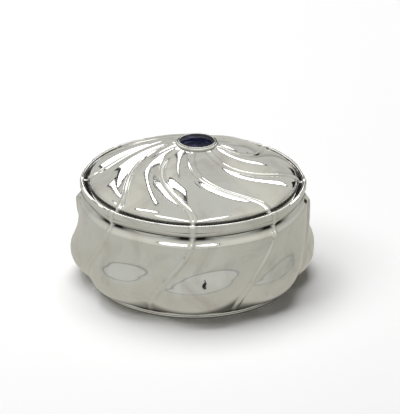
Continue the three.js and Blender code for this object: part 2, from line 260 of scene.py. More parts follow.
    # wrapped round the axis, from the front towards +X
    panelPlace = addNode(tree, maths, {0: panel, 1: share}, operation="ADD")
    straight = addNode(tree, maths, {0: panelPlace, 1: sector}, operation="MULTIPLY")
    twisted = addNode(tree, maths, {0: given["Twist"], 1: turnShare}, operation="MULTIPLY")
    angle = addNode(tree, maths, {0: straight, 1: twisted}, operation="SUBTRACT")
    sine = addNode(tree, maths, {0: angle}, operation="SINE")
    cosine = addNode(tree, maths, {0: angle}, operation="COSINE")
    shiftShare = addNode(tree, "ShaderNodeMapRange", {"Value": climbed}, interpolation_type="SMOOTHSTEP")
    shift = addNode(tree, maths, {0: shiftShare, 1: given["Shift"]}, operation="MULTIPLY")
    x = addNode(tree, maths, {0: parts["X"], 1: sine, 2: shift}, operation="MULTIPLY_ADD")
    depth = addNode(tree, maths, {0: parts["X"], 1: cosine}, operation="MULTIPLY")
    y = addNode(tree, maths, {0: depth, 1: -1.0}, operation="MULTIPLY")
    yCut = addNode(tree, maths, {0: y, 1: given["Back Flat"]}, operation="MINIMUM")
    wrapped = addNode(tree, "ShaderNodeCombineXYZ", {"X": x, "Y": yCut, "Z": parts["Z"]})
    # noted on the points: a rib's crest and foot, the way up the piece, and the valley between two panels
    noted = sheet.outputs["Mesh"]
    for name, value in (("crest", crest), ("beside", beside), ("along", climbed), ("valley", valley)):
        noted = addNode(tree, "GeometryNodeStoreNamedAttribute", {
            "Geometry": noted, "Name": name, "Value": value})
    placed = addNode(tree, "GeometryNodeSetPosition", {"Geometry": noted, "Position": wrapped})
    welded = addNode(tree, "GeometryNodeMergeByDistance", {
        "Geometry": placed, "Distance": given["Weld Distance"]})

    # the slight unevenness of metal raised by hand, none at either end
    fine = addNode(tree, "ShaderNodeTexNoise", {"Scale": given["Dents per Metre"], "Detail": 1.0})
    noise = addNode(tree, maths, {0: fine, 1: 0.5}, operation="SUBTRACT")
    along = addNode(tree, "GeometryNodeInputNamedAttribute", {"Name": "along"})
    alongAngle = addNode(tree, maths, {0: along, 1: math.pi}, operation="MULTIPLY")
    endFade = addNode(tree, maths, {0: alongAngle}, operation="SINE", use_clamp=True)
    depthHere = addNode(tree, maths, {0: given["Hand Raising"], 1: endFade}, operation="MULTIPLY")
    dent = addNode(tree, maths, {0: noise, 1: depthHere}, operation="MULTIPLY")
    normal = addNode(tree, "GeometryNodeInputNormal")
    offset = addNode(tree, vectors, {0: normal, "Scale": dent}, operation="SCALE")
    uneven = addNode(tree, "GeometryNodeSetPosition", {"Geometry": welded, "Offset": offset})
    shaded = addNode(tree, "GeometryNodeSetShadeSmooth", {"Geometry": uneven})
    real = addNode(tree, "GeometryNodeRealizeInstances", {"Geometry": shaded})
    finished = addNode(tree, "GeometryNodeSetMaterial", {"Geometry": real, "Material": given["Material"]})
    addNode(tree, "NodeGroupOutput", {"Geometry": finished})
    return tree


swirlTree = buildSwirlTree()
swirlSockets = {s.name: s.identifier for s in swirlTree.interface.items_tree if s.in_out == "INPUT"}


def linked(name, mesh):
    piece = bpy.data.objects.new(name, mesh)
    bpy.context.scene.collection.objects.link(piece)
    return piece


# What every finished piece gets: its body, the CAD nodes it stands for and its material slot
def settle(piece, body, nodes, material=None):
    if material:
        piece.data.materials.clear()
        piece.data.materials.append(material)
    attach(piece, body)
    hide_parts(*nodes)


# A ribbed piece. Rib line points are (radius, rib rise, height), panel line points (radius, share of the
# twist reached, height), and both run up the outer face. The back is cut flat at backFlat, which lies past
# the box unless a piece gives it.
def swirled(name, ribPoints, panelPoints, material, twist=0, shift=0, backFlat=1000,
            unevenness=0.0, thickness=0):
    lines = []
    for points, middleUnit in ((ribPoints, mm), (panelPoints, 1)):
        mesh = bpy.data.meshes.new("line")
        mesh.from_pydata([(r * mm, m * middleUnit, h * mm) for r, m, h in points], [], [])
        lines.append(linked("line", mesh))
    carrier = linked("carrier", bpy.data.meshes.new("carrier"))
    shaper = carrier.modifiers.new("Swirled Shell", "NODES")
    shaper.node_group = swirlTree
    for socket, value in (
        ("Rib Line", lines[0]),
        ("Panel Line", lines[1]),
        ("Rows", len(ribPoints)),
        ("Points per Panel", ribs["pointsPerPanel"]),
        ("Ribs", ribs["count"]),
        ("Rib Half Width", ribs["halfWidth"] * mm),
        ("Foot Mark", ribs["footMark"]),
        ("Foot Mark Half Width", ribs["footMarkHalf"]),
        ("Crowding", ribs["crowding"]),
        ("Weld Distance", ribs["weld"] * mm),
        ("Twist", math.radians(twist)),
        ("Shift", shift * mm),
        ("Back Flat", backFlat * mm),
        ("Hand Raising", unevenness * mm),
        ("Dents per Metre", 1 / (ribs["dentSize"] * mm)),
        ("Material", material),
    ):
        shaper[swirlSockets[socket]] = value
    if thickness:
        wall = carrier.modifiers.new("Wall", "SOLIDIFY")
        wall.thickness = thickness * mm
        wall.offset = -1
    graph = bpy.context.evaluated_depsgraph_get()
    mesh = bpy.data.meshes.new_from_object(carrier.evaluated_get(graph))
    mesh.name = name
    for helper in (carrier, *lines):
        bpy.data.objects.remove(helper)
    piece = linked(name, mesh)
    print("swirled", name, len(mesh.polygons), "faces")
    return piece


# A piece turned about an upright axis at centre, from a closed outline or from one that starts and ends on
# the axis
def turnedPiece(name, outline, centre=0.0, segments=192, alongX=None):
    onAxis = 0.0001  # mm, a point nearer than this lies on the axis
    build = bmesh.new()
    rings = []
    for radius, height in outline:
        if radius < onAxis:
            rings.append([build.verts.new((0, 0, height * mm))])
            continue
        rings.append([
            build.verts.new((radius * mm * math.cos(a), radius * mm * math.sin(a), height * mm))
            for a in (2 * math.pi * k / segments for k in range(segments))])
    fromAxis = len(rings[0]) == 1
    for i in range(len(rings) - 1 if fromAxis else len(rings)):
        low, high = rings[i], rings[(i + 1) % len(rings)]
        for k in range(segments):
            j = (k + 1) % segments
            corners = [low[k % len(low)], low[j % len(low)], high[j % len(high)], high[k % len(high)]]
            build.faces.new(list(dict.fromkeys(corners)))
    bmesh.ops.recalc_face_normals(build, faces=build.faces)
    mesh = bpy.data.meshes.new(name)
    build.to_mesh(mesh)
    build.free()
    if alongX:  # laid down along X about the hinge's axis
        mesh.transform(Matrix.Translation(alongX) @ Matrix.Rotation(math.pi / 2, 4, "Y"))
    else:
        mesh.transform(Matrix.Translation((centre * mm, 0, 0)))
    mesh.shade_smooth()
    return linked(name, mesh)


# Sterling silver, spun and raised by hand, then buffed to a mirror: a slightly warm white metal whose
# reflections are crisp. It has a breath of haze where the polish is a little worn, faint smudges from the
# cloth, and dark tarnish in the recesses and along the feet of the ribs, where the buff does not reach. The
# same dark colour also paints the shade that falls in those recesses and along the ribs' feet.
def makeSilver():
    look = {
        "bright": "#E5E6E3",
        "warm": "#E0E0DA",
        "warmClouds": (0.35, 0.7),  # of the haze's noise, where the warm tint starts and is full
        "roughness": 0.05,
        "haze": 0.05,
        "hazeSize": 9.0,  # mm across a cloud of haze
        "hazeClouds": (0.42, 0.72),
        "smudge": "#CFCCC8",
        "smudgeSize": 16.0,
        "smudgeClouds": (0.48, 0.72),
        # painted shade in the recesses and at the ribs' feet, and the tarnish there
        "tarnishAndShadeColour": "#1E1D1A",
        "tarnishHaze": 0.2,
        "recessFade": (0.6, 1.5),  # half widths of a recess between which its dark fades out
        "nearRibs": (0.05, 0.6),  # where the painted shade and tarnish that keep to the ribs start and are full
        "besideBodyRibs": 0.05,  # painted shade and tarnish at the foot of a rib: how dark on the body, and on the lid below
        "besideLidRibs": 0.17,
        "scratchSize": 0.9,  # mm, drawn coarser than real buffing marks so that they show
        "scratchDepth": 0.004,  # mm
    }
    # height of a recess and half its width, between which radii it lies (mm), how dark it is, and whether
    # it keeps to the ribs. Each row paints shade where the light does not reach, with the tarnish there
    pastRim = rimRadius + 1
    recesses = (
        (domeTop, 0.15, 0, 12, 0.45, False),  # round the setting
        (grooveHeight + 0.3, 0.6, 0, lipInside - 1.7, 0.75, False),  # foot of the dome
        (grooveHeight, 0.3, lipInside - 0.4, lipInside + 0.1, 0.8, False),  # foot of the lip
        (seamHeight + 0.07, 0.14, mouthRadius, pastRim, 0.6, False),  # between the rims
        (wallTop - 0.05, 0.35, mouthRadius, pastRim, 0.9, False),  # under the body's rim
        (wallTop + 0.5, 0.7, mouthRadius, pastRim, 0.3, False),  # lower edge of that rim
        (wallTop - 0.4, 1.0, mouthRadius, pastRim, 1.0, True),  # where the ribs meet it
        (floorTop + 0.05, 0.2, footRadius - 1, footRadius + 4, 0.6, False),  # foot of the wall
        (floorTop + 0.4, 0.7, footRadius - 1, footRadius + 4, 0.8, True),  # ends of the ribs there
    )
    material = newMaterial("polishedSterlingSilver")
    tree = material.node_tree
    place = addNode(tree, "ShaderNodeTexCoord").outputs["Object"]
    inMm = addNode(tree, vectors, {0: place, "Scale": 1 / mm}, operation="SCALE")
    clouds = addNode(tree, "ShaderNodeTexNoise", {
        "Vector": inMm, "Scale": 1 / look["hazeSize"], "Detail": 3.0, "Roughness": 0.55})
    haze = addNode(tree, "ShaderNodeMapRange", {
        "Value": clouds, "From Min": look["hazeClouds"][0], "From Max": look["hazeClouds"][1],
        "To Min": look["roughness"], "To Max": look["roughness"] + look["haze"]})
    tinted = faded(tree, clouds, look["warmClouds"], look["bright"], look["warm"])
    cloth = addNode(tree, "ShaderNodeTexNoise", {
        "Vector": inMm, "Scale": 1 / look["smudgeSize"],
        "Detail": 4.0, "Roughness": 0.6, "Distortion": 0.8})
    smudged = faded(tree, cloth, look["smudgeClouds"], tinted, look["smudge"])
    parts = addNode(tree, "ShaderNodeSeparateXYZ", {0: inMm})
    flat = addNode(tree, "ShaderNodeCombineXYZ", {"X": parts.outputs["X"], "Y": parts.outputs["Y"]})
    radius = addNode(tree, vectors, {0: flat}, operation="LENGTH").outputs["Value"]
    crest = addNode(tree, "ShaderNodeAttribute", attribute_name="crest").outputs["Fac"]
    valley = addNode(tree, "ShaderNodeAttribute", attribute_name="valley").outputs["Fac"]
    beside = addNode(tree, "ShaderNodeAttribute", attribute_name="beside").outputs["Fac"]
    nearRib = addNode(tree, "ShaderNodeMapRange", {
        "Value": valley, "From Min": look["nearRibs"][0], "From Max": look["nearRibs"][1]})
    besideRib = addNode(tree, "ShaderNodeMapRange", {
        "Value": parts.outputs["Z"], "From Min": wallTop, "From Max": seamHeight,
        "To Min": look["besideBodyRibs"], "To Max": look["besideLidRibs"]})
    dark = addNode(tree, maths, {0: beside, 1: besideRib}, operation="MULTIPLY")
    fullDark, noDark = look["recessFade"]
    for height, half, inner, outer, strength, ribsOnly in recesses:
        above = addNode(tree, maths, {0: parts.outputs["Z"], 1: height}, operation="SUBTRACT")
        away = addNode(tree, maths, {0: above}, operation="ABSOLUTE")
        near = addNode(tree, "ShaderNodeMapRange", {
            "Value": away, "From Min": fullDark * half, "From Max": noDark * half,
            "To Min": strength, "To Max": 0.0})
        inside = addNode(tree, maths, {0: radius, 1: outer}, operation="LESS_THAN")
        outside = addNode(tree, maths, {0: radius, 1: inner}, operation="GREATER_THAN")
        both = addNode(tree, maths, {0: inside, 1: outside}, operation="MULTIPLY")
        here = addNode(tree, maths, {0: near, 1: both}, operation="MULTIPLY")
        if ribsOnly:
            here = addNode(tree, maths, {0: here, 1: nearRib}, operation="MULTIPLY")
        dark = addNode(tree, maths, {0: here, 1: dark}, operation="MAXIMUM")
    # the painted shade and tarnish, kept off the worn crests of the ribs
    worn = addNode(tree, maths, {0: 1.0, 1: crest}, operation="SUBTRACT", use_clamp=True)
    tarnishAndShadeMask = addNode(tree, maths, {0: dark, 1: worn}, operation="MULTIPLY")
    colour = addNode(tree, "ShaderNodeMix", {
        0: tarnishAndShadeMask, 6: smudged, 7: colourOf(look["tarnishAndShadeColour"])}, data_type="RGBA")
    rough = addNode(tree, maths, {
        0: tarnishAndShadeMask, 1: look["tarnishHaze"], 2: haze}, operation="MULTIPLY_ADD")
    marks = addNode(tree, "ShaderNodeTexNoise", {
        "Vector": inMm, "Scale": 1 / look["scratchSize"], "Detail": 2.0})
    bump = addNode(tree, "ShaderNodeBump", {
        "Distance": look["scratchDepth"] * mm, "Height": marks})
    shader = addNode(tree, "ShaderNodeBsdfPrincipled", {
        "Base Color": colour.outputs[2], "Metallic": 1.0, "Roughness": rough, "Normal": bump})
    addNode(tree, "ShaderNodeOutputMaterial", {"Surface": shader})
    return material


# Sodalite, cut as a low cabochon and polished: very dark blue with faint paler veins under a glassy face
def makeStone():
    look = {
        "deep": "#040514",
        "blue": "#0C0F30",
        "vein": "#3E4460",
        "grainSize": 3.0,  # mm
        "veinSize": 3.2,  # mm between veins
        "veinStretch": 0.55,  # below 1 draws the veins out along X
        "veinClouds": (0.54, 0.72),
        "veinShare": 0.8,
        "roughness": 0.12,
        "ior": 1.48,
        "reflection": 0.2,  # 0.5 would be its full strength
    }
    material = newMaterial("polishedSodalite")
    tree = material.node_tree
    place = addNode(tree, "ShaderNodeTexCoord").outputs["Object"]
    inMm = addNode(tree, vectors, {0: place, "Scale": 1 / mm}, operation="SCALE")
    grain = addNode(tree, "ShaderNodeTexNoise", {
        "Vector": inMm, "Scale": 1 / look["grainSize"], "Detail": 5.0, "Roughness": 0.6})
    body = addNode(tree, "ShaderNodeMix", {
        0: grain, 6: colourOf(look["deep"]), 7: colourOf(look["blue"])}, data_type="RGBA")
    drawn = addNode(tree, "ShaderNodeMapping", {"Vector": inMm, "Scale": (look["veinStretch"], 1.0, 1.0)})
    veins = addNode(tree, "ShaderNodeTexNoise", {
        "Vector": drawn, "Scale": 1 / look["veinSize"], "Detail": 3.0, "Distortion": 1.2})
    veined = faded(tree, veins, look["veinClouds"], body.outputs[2], look["vein"], share=look["veinShare"])
    shader = addNode(tree, "ShaderNodeBsdfPrincipled", {
        "Base Color": veined, "Roughness": look["roughness"], "IOR": look["ior"],
        "Specular IOR Level": look["reflection"]})
    addNode(tree, "ShaderNodeOutputMaterial", {"Surface": shader})
    return material


silver = makeSilver()
sodalite = makeStone()
print("materials made")


# Wall of the body, between its line along a rib and its line down the middle of a panel
def makeBodyShell():
    wall = {
        "footOverhang": 0.2,
        "belly": 50.6,  # middle of a panel at its fullest
        "bellyHeight": 10.8,  # above the floor plate
        "ribBelly": 47.0,
        "waist": mouthRadius + 3.4,  # middle of a panel where it is straightest
        "waistShare": 0.67,  # of the way from the belly to the rim
        "shoulder": rimRadius + 1.2,
        "coveHeight": 3.9,  # hollow under the rim
        "neck": rimRadius - 1.5,
        "panelNeck": mouthRadius + 1.3,
        "thickness": 0.9,
        "twist": 22.5,  # degrees, rim to foot
        "ribStart": 0.08,  # share of the way up over which a rib grows to its full rise
        "stepsPerSpan": 10,
        "unevenness": 0.1,
    }
    foot = floorRadius + wall["footOverhang"]
    belly = wall["belly"]
    waist = wall["waist"]
    ribBelly = wall["ribBelly"]
    shoulder = wall["shoulder"]
    neck = wall["neck"]
    panelNeck = wall["panelNeck"]
    bellyTop = floorTop + wall["bellyHeight"]
    waistTop = between(bellyTop, wallTop, wall["waistShare"])
    coveFoot = wallTop - wall["coveHeight"]
    # height, radius beside a rib and radius in the middle of a panel
    sections = [
        (floorTop, foot, foot),
        (between(floorTop, bellyTop, 0.24),
         between(footRadius, ribBelly, 0.38), between(footRadius, belly, 0.62)),
        (between(floorTop, bellyTop, 0.58),
         between(footRadius, ribBelly, 0.78), between(footRadius, belly, 0.92)),
        (bellyTop, ribBelly, belly),
        (between(bellyTop, waistTop, 0.18), ribBelly, between(waist, belly, 0.9)),
        (between(bellyTop, waistTop, 0.38), between(shoulder, ribBelly, 0.6), between(waist, belly, 0.58)),
        (between(bellyTop, waistTop, 0.58), between(shoulder, ribBelly, 0.2), between(waist, belly, 0.27)),
        (between(bellyTop, waistTop, 0.78), shoulder, between(waist, belly, 0.09)),
        (waistTop, shoulder, waist),
        (between(waistTop, coveFoot, 0.55), shoulder, between(panelNeck, waist, 0.98)),
        (coveFoot, between(neck, shoulder, 0.93), between(panelNeck, waist, 0.9)),
        (between(coveFoot, wallTop, 0.45), between(neck, shoulder, 0.45), between(panelNeck, waist, 0.25)),
        (wallTop, neck, panelNeck),
    ]
    levels = [height for height, _, _ in sections]
    ribRadii = [radius for _, radius, _ in sections]
    panelRadii = [radius for _, _, radius in sections]
    ribLine = splineThrough(list(zip(ribRadii, levels)), wall["stepsPerSpan"])
    panelLine = splineThrough(list(zip(panelRadii, levels)), wall["stepsPerSpan"])
    last = len(ribLine) - 1
    ribPoints = [
        (r.x, ribs["rise"] * easeInOut(i / last / wall["ribStart"]), r.y) for i, r in enumerate(ribLine)]
    panelPoints = [
        (p.x, easeInOut((wallTop - r.y) / (wallTop - floorTop)), p.y) for p, r in zip(panelLine, ribLine)]
    piece = swirled("body_wall", ribPoints, panelPoints, silver, twist=wall["twist"],
                    unevenness=wall["unevenness"], thickness=wall["thickness"])
    settle(piece, "base", ["body_shell"])


# Dome of the lid, swelling between the ribs, with the flat that carries the stone's setting
def makeLidShell():
    dome = {
        "foot": rimRadius - 3.9,
        "flat": halfWidthOf("setting_collar") + 0.2,  # just past the setting
        "pillowHeight": 2.8,  # swollen edge of a panel above the groove
        "pillowLift": 1.0,  # how much higher that edge is than beside a rib
        "pillowOverhang": 0.1,
        "thickness": 0.8,
        "twist": 58,  # degrees, rim to setting
        "stepsPerSpan": 13,
        "ribFade": 0.6,  # share of the ribs' rise that is lost over the upper half
        "sinkRows": 5,  # rows of points over which the rest sinks into the flat
        "flatRows": (0.8, 0.5, 0.2, 0.0),  # rows on the flat, which closes to a point under the stone
        "unevenness": 0.1,
    }
    foot = dome["foot"]
    flat = dome["flat"]
    pillowEdge = grooveHeight + dome["pillowHeight"]
    ribEdge = pillowEdge - dome["pillowLift"]
    outward = (0.86, 0.64, 0.38, 0.15)  # points of a curve, as shares of the way from the flat to the foot
    curves = []
    # height of a curve's edge, its lean below that, two shares that bend it, and how far up its points lie
    for edge, lean, bend, turn, climb in (
        (ribEdge, 0, 0.45, 0.96, (0.11, 0.31, 0.57, 0.82)),
        (pillowEdge, dome["pillowOverhang"], 0.5, 0.97, (0.135, 0.36, 0.615, 0.855)),
    ):
        curve = [
            (foot, grooveHeight),
            (foot + lean, between(grooveHeight, edge, bend)),
            (between(flat, foot, turn), edge),
        ]
        for out, up in zip(outward, climb):
            curve.append((between(flat, foot, out), between(edge, domeTop, up)))
        curves.append(splineThrough(curve + [(flat, domeTop)], dome["stepsPerSpan"]))
    ribLine, panelLine = curves
    last = len(ribLine) - 1
    ribPoints = []
    panelPoints = []
    for i, (r, p) in enumerate(zip(ribLine, panelLine)):
        fade = 1 - dome["ribFade"] * easeInOut(2 * i / last - 1)
        sink = easeInOut((last - i) / dome["sinkRows"])
        ribPoints.append((r.x, ribs["rise"] * fade * sink, r.y))
        panelPoints.append((p.x, easeInOut((foot - r.x) / (foot - flat)), p.y))
    for share in dome["flatRows"]:
        ribPoints.append((flat * share, 0, domeTop))
        panelPoints.append((flat * share, 1, domeTop))
    piece = swirled("lid_dome", ribPoints, panelPoints, silver, twist=dome["twist"], shift=settingCentre,
                    unevenness=dome["unevenness"], thickness=dome["thickness"])
    settle(piece, "lid", ["lid_shell"])


# Both rims: lobed bands with a rounded face, their ribs in line with the walls', cut flat for the hinge
def makeRims():
    rim = {
        "lidDip": 0.4,  # how far a rim draws in between the ribs
        "bodyDip": 1.2,
        "ledge": 5.4,  # from the rim in to the edge of the ledge that carries the dome
        "shelf": 0.45,  # underside of that ledge, above the collar
        "collarGap": 0.45,
    }
    lidDip = rim["lidDip"]
    bodyDip = rim["bodyDip"]
    lipTop = rimRadius - lip["width"]
    ledge = rimRadius - rim["ledge"]
    shelf = collarTop + rim["shelf"]
    lidMouth = mouthRadius + rim["collarGap"]
    # corners are (radius at a rib, height, rounding, dip between ribs, share of the ribs' rise)
    lidCorners = [
        (lidMouth, lidFoot, 0.12, 0, 0),
        (rimRadius - 0.1, lidFoot, 0.3, lidDip, 1),
        (rimRadius + 0.05, between(lidFoot, lidTop, 0.6), 1.1, lidDip, 1),
        (rimRadius - 0.2, lidTop, 0.6, lidDip, 1),
        (lipTop, lidTop, 0.4, lidDip, 1),
        (lipInside, grooveHeight, 0.15, lidDip, 0.5),
        (ledge, grooveHeight, 0.1, 0, 0),
        (ledge, shelf, 0.1, 0, 0),
        (lidMouth, shelf, 0.1, 0, 0),
    ]
    bodyCorners = [
        (mouthRadius, wallTop, 0.1, 0, 0),
        (rimRadius - 0.4, wallTop, 0.4, bodyDip, 1),
        (rimRadius, between(wallTop, seamHeight, 0.55), 0.6, bodyDip, 1),
        (rimRadius - 0.15, seamHeight, 0.25, bodyDip, 1),
        (mouthRadius, seamHeight, 0.1, 0, 0),
    ]
    for name, corners, body, node in (
        ("lid_band", lidCorners, "lid", "lid_rim"),
        ("body_band", bodyCorners, "base", "body_rim"),
    ):
        ribLine = rounded([(r, h, cut) for r, h, cut, _, _ in corners])
        panelLine = rounded([(r - dip, h, cut) for r, h, cut, dip, _ in corners])
        perCorner = len(ribLine) // len(corners)
        rises = [ribs["rimRise"] * share for _, _, _, _, share in corners for _ in range(perCorner)]
        ribPoints = [(p.x, rise, p.y) for p, rise in zip(ribLine, rises)]
        panelPoints = [(p.x, 0, p.y) for p in panelLine]
        ribPoints.append(ribPoints[0])
        panelPoints.append(panelPoints[0])
        piece = swirled(name, ribPoints, panelPoints, silver, backFlat=hingeSeat)
        settle(piece, body, [node])


# Foot ring, floor plate and the collar that the lid closes over
def makeRoundPieces():
    foot = {"width": 2.4, "edge": 0.2, "round": 0.6}
    footOutline = rounded([
        (footRadius - foot["width"], 0, foot["edge"]),
        (footRadius, 0, foot["edge"]),
        (footRadius, footHeight, foot["round"]),
        (footRadius - foot["width"], footHeight, foot["edge"]),
    ])
    settle(turnedPiece("foot_band", footOutline), "base", ["foot_ring"], silver)
    plateOutline = rounded([
        (0, footHeight, 0),
        (floorRadius, footHeight, foot["edge"]),
        (floorRadius, floorTop, foot["round"]),
        (0, floorTop, 0),
    ])
    settle(turnedPiece("floor_disc", plateOutline), "base", ["floor_plate"], silver)
    collar = {"thickness": 0.8, "footEdge": 0.1, "topEdge": 0.3}
    inside = mouthRadius - collar["thickness"]
    collarOutline = rounded([
        (inside, collarFoot, collar["footEdge"]),
        (mouthRadius, collarFoot, collar["footEdge"]),
        (mouthRadius, collarTop, collar["topEdge"]),
        (inside, collarTop, collar["topEdge"]),
    ])
    settle(turnedPiece("mouth_collar", collarOutline), "base", ["inner_collar"], silver)
    print("round pieces turned")


# The stone, the thin wall that grips it and the ring round that wall
def makeSetting():
    ringOut = halfWidthOf("setting_collar")
    bezelOut = halfWidthOf("stone_bezel")
    stoneOut = halfWidthOf("stone")
    setting = {
        "wall": 0.55,
        "gap": 0.05,
        "footEdge": 0.1,
        "ringEdge": 0.15,
        "ringRound": 0.35,  # outer top edge of the ring
        "bezelRound": 0.2,
        "crown": 0.2,
        "crownSteps": 12,
        "girdle": 0.1,  # straight stretch of the stone's side just under its crown
    }
    ringTop = highOf("setting_collar").z
    bezelTop = highOf("stone_bezel").z
    stoneTop = highOf("stone").z
    ringIn = bezelOut + setting["gap"]
    ringOutline = rounded([
        (ringIn, domeTop, setting["footEdge"]),
        (ringOut, domeTop, setting["ringEdge"]),
        (ringOut, ringTop, setting["ringRound"]),
        (ringIn, ringTop, setting["ringEdge"]),
    ])
    bezelIn = bezelOut - setting["wall"]
    bezelOutline = rounded([
        (bezelIn, domeTop, setting["footEdge"]),
        (bezelOut, domeTop, setting["footEdge"]),
        (bezelOut, bezelTop, setting["bezelRound"]),
        (bezelIn, bezelTop, setting["bezelRound"]),
    ])
    for name, outline, node in (
        ("setting_ring", ringOutline, "setting_collar"),
        ("bezel_wall", bezelOutline, "stone_bezel"),
    ):
        settle(turnedPiece(name, outline, settingCentre), "lid", [node], silver)
    edge = stoneTop - setting["crown"]
    crownOutline = [(0, domeTop), (stoneOut, domeTop), (stoneOut, edge - setting["girdle"])]
    for k in range(setting["crownSteps"] + 1):
        a = math.pi / 2 * k / setting["crownSteps"]
        crownOutline.append((stoneOut * math.cos(a), edge + setting["crown"] * math.sin(a)))
    crownOutline[-1] = (0, stoneTop)
    settle(turnedPiece("cabochon", crownOutline, settingCentre), "lid", ["stone"], sodalite)
    print("stone set")


# Knuckles, pin and pin heads of the hinge at the back
def makeHinge():
    hinge = {
        "bore": 0.6,
        "edge": 0.12,
        "edgeSteps": 3,
        "knuckleSegments": 48,
        "boreSegments": 32,
        "pinSegments": 32,
        "headSegments": 40,
        "headSteps": 6,
        "headStraight": 0.3,  # share of a pin head's length before it rounds over
    }
    axisY = highOf("hinge_pin").y / 2 + lowOf("hinge_pin").y / 2
    axisZ = highOf("hinge_pin").z / 2 + lowOf("hinge_pin").z / 2
    barrel = highOf("body_knuckle_centre").y - axisY
    for body, names in (
        ("base", ("body_knuckle_left", "body_knuckle_centre", "body_knuckle_right")),
        ("lid", ("lid_knuckle_left", "lid_knuckle_right")),
    ):
        upper = body == "lid"
        turnFrom, turnTo = (math.pi, 2.5 * math.pi) if upper else (-0.5 * math.pi, math.pi)
        inner = axisY - barrel if upper else axisY
        for node in names:
            low, high = lowOf(node), highOf(node)
            outline = []
            for k in range(hinge["knuckleSegments"] + 1):
                a = between(turnFrom, turnTo, k / hinge["knuckleSegments"])
                outline.append((axisY + barrel * math.cos(a), axisZ + barrel * math.sin(a)))
            outline += [(hingeSeat, high.z), (hingeSeat, low.z), (inner, low.z)]
            curve = bpy.data.curves.new(node, "CURVE")
            curve.dimensions = "2D"
            curve.fill_mode = "BOTH"
            curve.extrude = ((high.x - low.x) / 2 - hinge["edge"]) * mm
            curve.bevel_depth = hinge["edge"] * mm
            curve.bevel_resolution = hinge["edgeSteps"]
            curve.offset = -hinge["edge"] * mm
            bore = []
            for k in range(hinge["boreSegments"]):
                a = 2 * math.pi * k / hinge["boreSegments"]
                bore.append((axisY + hinge["bore"] * math.cos(a), axisZ + hinge["bore"] * math.sin(a)))
            for points in (outline, bore):
                spline = curve.splines.new("POLY")
                spline.points.add(len(points) - 1)
                for point, (y, z) in zip(spline.points, points):
                    point.co = (y * mm, z * mm, 0, 1)
                spline.use_cyclic_u = True
            flat = linked("flat", curve)
            graph = bpy.context.evaluated_depsgraph_get()
            mesh = bpy.data.meshes.new_from_object(flat.evaluated_get(graph))
            bpy.data.objects.remove(flat)
            # the curve's own X, Y and Z become the box's Y, Z and X
            middleX = (low.x + high.x) / 2 * mm
            mesh.transform(Matrix(((0, 0, 1, middleX), (1, 0, 0, 0), (0, 1, 0, 0), (0, 0, 0, 1))))
            settle(linked(node.replace("knuckle", "barrel"), mesh), body, [node], silver)
    pinOut = (highOf("hinge_pin").z - lowOf("hinge_pin").z) / 2
    half = highOf("hinge_pin").x
    axis = Vector((0, axisY * mm, axisZ * mm))
    pinOutline = [(0, -half), (pinOut, -half), (pinOut, half), (0, half)]
    pin = turnedPiece("pin_wire", pinOutline, segments=hinge["pinSegments"], alongX=axis)
    settle(pin, "base", ["hinge_pin"], silver)
    straight = hinge["headStraight"]
    for node, way in (("pin_cap_left", -1), ("pin_cap_right", 1)):
        low, high = lowOf(node), highOf(node)
        head = (high.z - low.z) / 2
        start, end = (high.x, low.x) if way < 0 else (low.x, high.x)
        headOutline = [(0, start), (head, start)]
        for k in range(hinge["headSteps"] + 1):
            a = math.pi / 2 * k / hinge["headSteps"]
            along = between(start, end, straight + (1 - straight) * math.sin(a))
            headOutline.append((head * math.cos(a), along))
        headOutline[-1] = (0, end)
        name = node.replace("cap", "head")
        pinHead = turnedPiece(name, headOutline, segments=hinge["headSegments"], alongX=axis)
        settle(pinHead, "base", [node], silver)
    print("hinge made")


makeBodyShell()
makeLidShell()
makeRims()
makeRoundPieces()
makeSetting()
makeHinge()


# A light tent that the silver mirrors: pale walls, darker at the right, a ceiling paler at its sides, and a
# faint dark seam where the walls meet the table
def makeTent():
    tent = {
        "wall": "#CDCDC8",
        "wallRight": "#BBBBB4",
        "right": (0.5, 0.95),  # X of a direction where that starts and is full
        "ceiling": "#D4D4CF",
        "ceilingSides": "#E6E3DA",
        "sides": (0.25, 0.5),  # the same for the ceiling, on either side
        "climb": (0.2, 0.75),  # Z of a direction where the walls turn into the ceiling
        "seam": "#A9A9A5",
        "seamHalf": 1.5,  # degrees
    }
    world = bpy.data.worlds.new("tent")
    bpy.context.scene.world = world
    world.use_nodes = True
    world.cycles_visibility.diffuse = False
    tree = world.node_tree
    tree.nodes.clear()
    way = addNode(tree, "ShaderNodeTexCoord").outputs["Generated"]
    wayParts = addNode(tree, "ShaderNodeSeparateXYZ", {0: way}).outputs
    walls = faded(tree, wayParts["X"], tent["right"], tent["wall"], tent["wallRight"])
    sideways = addNode(tree, maths, {0: wayParts["X"]}, operation="ABSOLUTE")
    ceiling = faded(tree, sideways, tent["sides"], tent["ceiling"], tent["ceilingSides"])
    cloth = faded(tree, wayParts["Z"], tent["climb"], walls, ceiling)
    level = addNode(tree, maths, {0: wayParts["Z"]}, operation="ABSOLUTE")
    seamHalf = math.sin(math.radians(tent["seamHalf"]))
    seamed = faded(tree, level, (seamHalf, 2 * seamHalf), tent["seam"], cloth)
    back = addNode(tree, "ShaderNodeBackground", {"Color": seamed})
    addNode(tree, "ShaderNodeOutputWorld", {"Surface": back})


# A flat thing for the studio. It throws no shadow, and matt things are not lit by it.
def setUp(name, build, place, material, seen, mirrored):
    mesh = bpy.data.meshes.new(name)
    build.to_mesh(mesh)
    build.free()
    mesh.transform(place)
    mesh.materials.append(material)
    thing = linked(name, mesh)
    thing.visible_camera = seen
    thing.visible_glossy = mirrored
    thing.visible_diffuse = False
    thing.visible_shadow = False
